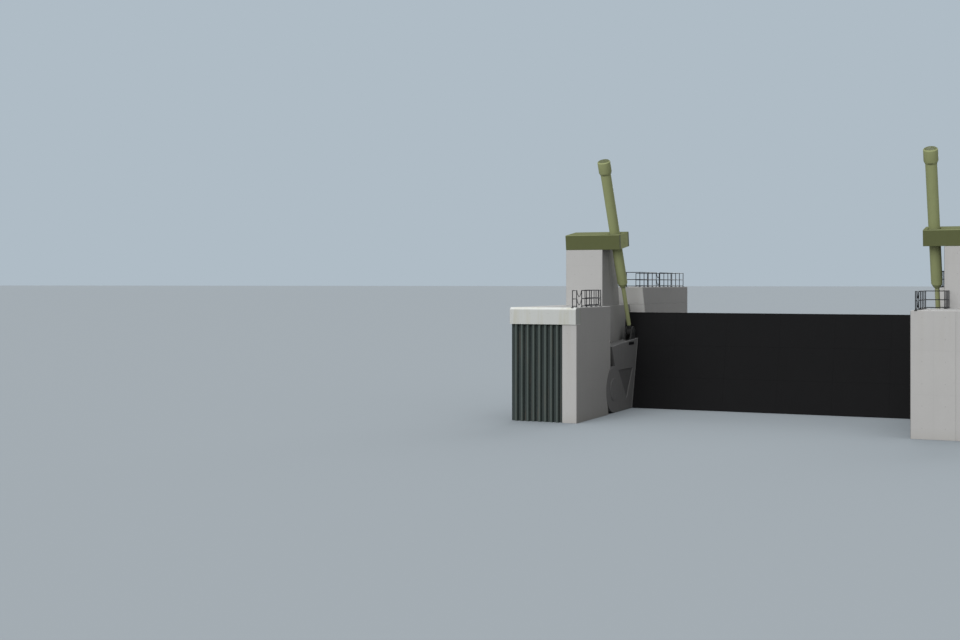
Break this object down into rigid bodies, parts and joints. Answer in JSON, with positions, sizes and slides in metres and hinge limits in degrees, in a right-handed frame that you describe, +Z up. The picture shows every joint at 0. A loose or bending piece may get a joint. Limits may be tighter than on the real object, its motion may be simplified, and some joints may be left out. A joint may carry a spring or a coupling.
{
  "type": "rotary sluice gate between piers",
  "caption": "Closed flood gate leaf on side arms between concrete piers, with an inclined hydraulic cylinder in a cradle on each pier's tower and railed decks.",
  "frame": {"origin": "centre of the waterway, half-way along the piers, at the waterline", "axes": "+X across the waterway, +Y along the flow from the piers' noses to their tails, +Z up"},
  "size_m": [29, 26, 17.1545],
  "materials": {
    "concrete": "fair-faced cast concrete, matte",
    "white_concrete": "pale cast concrete with faint water stains",
    "pile_steel": "weathered grey-green coated sheet piles",
    "gate_paint": "black protective paint, satin",
    "arm_paint": "dark grey protective paint, satin",
    "olive_paint": "olive paint, satin",
    "cylinder_paint": "light olive paint, satin",
    "railing_steel": "black paint, satin",
    "seal_rubber": "smooth black rubber"
  },
  "bodies": {
    "piers": {"left_pier_nose": "concrete", "left_pier_wall": "concrete", "left_pier_tail": "concrete", "left_tower": "concrete", "left_cradle_beams": "olive_paint", "left_cradle_plates": "olive_paint", "left_pivot_bearing": "arm_paint", "left_channel_railing": "railing_steel", "left_pocket_railing": "railing_steel", "left_tail_railing": "railing_steel", "left_tail_front_railing": "railing_steel", "left_tail_end_railing": "railing_steel", "right_pier_nose": "concrete", "right_pier_wall": "concrete", "right_pier_tail": "concrete", "right_tower": "concrete", "right_cradle_beams": "olive_paint", "right_cradle_plates": "olive_paint", "right_pivot_bearing": "arm_paint", "right_channel_railing": "railing_steel", "right_pocket_railing": "railing_steel", "right_tail_railing": "railing_steel", "right_tail_front_railing": "railing_steel", "right_tail_end_railing": "railing_steel", "left_nose_capping": "white_concrete", "left_sheet_piles": "pile_steel"},
    "gate": {"skin_plate": "gate_paint", "girders": "gate_paint", "ribs": "gate_paint", "crest_box": "gate_paint", "side_seals": "seal_rubber", "left_arm": "arm_paint", "left_lugs": "arm_paint", "right_arm": "arm_paint", "right_lugs": "arm_paint"},
    "left_barrel_body": {"left_barrel": "cylinder_paint", "left_cap": "cylinder_paint", "left_trunnion_ring": "cylinder_paint"},
    "left_rod_body": {"left_rod": "cylinder_paint", "left_rod_eye": "arm_paint"},
    "right_barrel_body": {"right_barrel": "cylinder_paint", "right_cap": "cylinder_paint", "right_trunnion_ring": "cylinder_paint"},
    "right_rod_body": {"right_rod": "cylinder_paint", "right_rod_eye": "arm_paint"}
  },
  "joints": [
    {"name": "gate_swing", "type": "hinge", "parent": "piers", "child": "gate", "pos_m": [0, -5.4, 1.6], "axis": [-1, 0, 0], "range_deg": [0, 74]},
    {"name": "left_cylinder_tilt", "type": "hinge", "parent": "piers", "child": "left_barrel_body", "pos_m": [-10.45, -3.75, 11.71], "axis": [-1, 0, 0], "range_deg": [0, 12.9]},
    {"name": "left_rod_slide", "type": "slide", "parent": "left_barrel_body", "child": "left_rod_body", "axis": [0, 0.4438, -0.8961], "range_m": [0, 6.985]},
    {"name": "right_cylinder_tilt", "type": "hinge", "parent": "piers", "child": "right_barrel_body", "pos_m": [10.45, -3.75, 11.71], "axis": [-1, 0, 0], "range_deg": [0, 12.9]},
    {"name": "right_rod_slide", "type": "slide", "parent": "right_barrel_body", "child": "right_rod_body", "axis": [0, 0.4438, -0.8961], "range_m": [0, 6.985]}
  ],
  "couplings": [
    {"joint": "left_cylinder_tilt", "follows": "gate_swing", "ratio": 0.17411},
    {"joint": "left_rod_slide", "follows": "gate_swing", "m_per_rad": 5.4044},
    {"joint": "right_cylinder_tilt", "follows": "gate_swing", "ratio": 0.17411},
    {"joint": "right_rod_slide", "follows": "gate_swing", "m_per_rad": 5.4044}
  ]
}
